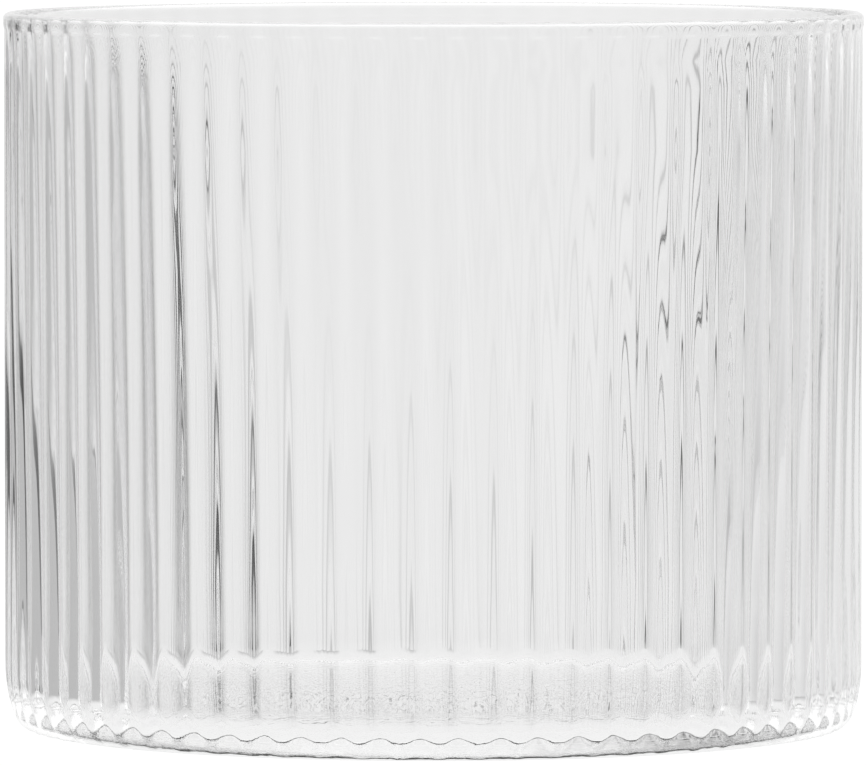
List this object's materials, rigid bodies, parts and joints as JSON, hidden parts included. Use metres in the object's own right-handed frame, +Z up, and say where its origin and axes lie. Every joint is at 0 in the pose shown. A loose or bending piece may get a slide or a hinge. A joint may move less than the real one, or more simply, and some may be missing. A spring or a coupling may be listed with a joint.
{
  "type": "ribbed tea glass",
  "caption": "Low, straight-sided clear tumbler for tea, with upright convex ribs outside, a plain rounded rim band, a turned-in heel and a smooth foot ring.",
  "frame": {"origin": "centre of the foot, on the plane that the glass stands on", "axes": "+Z up along the glass's own axis, towards the rim; +X through the crest of one rib"},
  "size_m": [0.08, 0.08, 0.0665],
  "materials": {
    "clear_glass": "clear soda-lime glass, fire-polished"
  },
  "bodies": {
    "root": {"tumbler": "clear_glass"}
  },
  "joints": []
}
